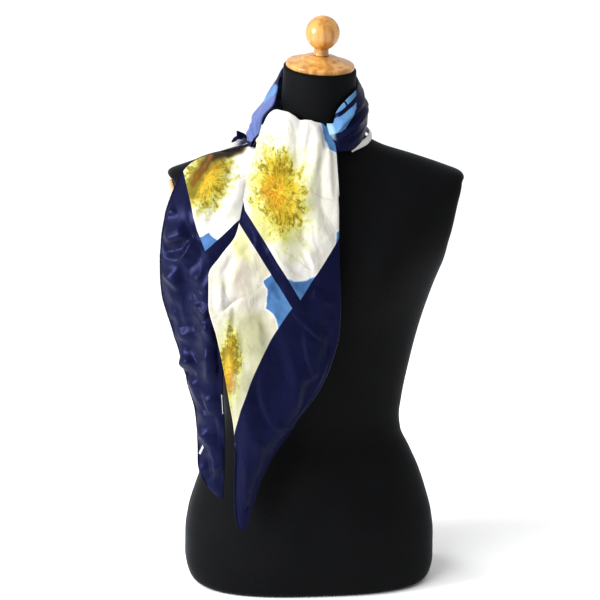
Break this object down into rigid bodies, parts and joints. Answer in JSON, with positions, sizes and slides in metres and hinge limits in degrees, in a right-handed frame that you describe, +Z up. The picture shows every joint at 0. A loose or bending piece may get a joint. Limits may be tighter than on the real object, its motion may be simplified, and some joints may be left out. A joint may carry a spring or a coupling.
{
  "type": "silk square scarf on a limbless dress form",
  "caption": "Printed silk square folded corner to corner, gathered round the neck and hanging as a bib from a limbless dress form with a wooden neck cap and knob.",
  "frame": {"origin": "middle of the flat underside that the dress form stands on", "axes": "+Z up along the form's height, -Y out of its chest, +X towards the form's own left arm"},
  "size_m": [0.4045, 0.281, 0.7549],
  "materials": {
    "silk": "ivory, navy and sky-blue printed silk twill with a soft satin sheen",
    "jersey": "fine black cotton jersey, matt",
    "cap_wood": "honey-coloured turned wood under gloss lacquer",
    "plate_wood": "pale wood, satin",
    "tag_cloth": "blank white woven tape"
  },
  "bodies": {
    "root": {"form_torso": "jersey", "form_neck_cap": "cap_wood", "form_knob": "cap_wood", "form_arm_plate_left": "plate_wood", "form_arm_plate_right": "plate_wood", "front_fall": "silk", "shoulder_fall": "silk", "under_fall": "silk", "neck_band_left": "silk", "neck_band_back": "silk", "neck_band_right": "silk", "nape_knot": "silk", "nape_end_left": "silk", "nape_end_right": "silk", "care_tag": "tag_cloth"}
  },
  "joints": []
}
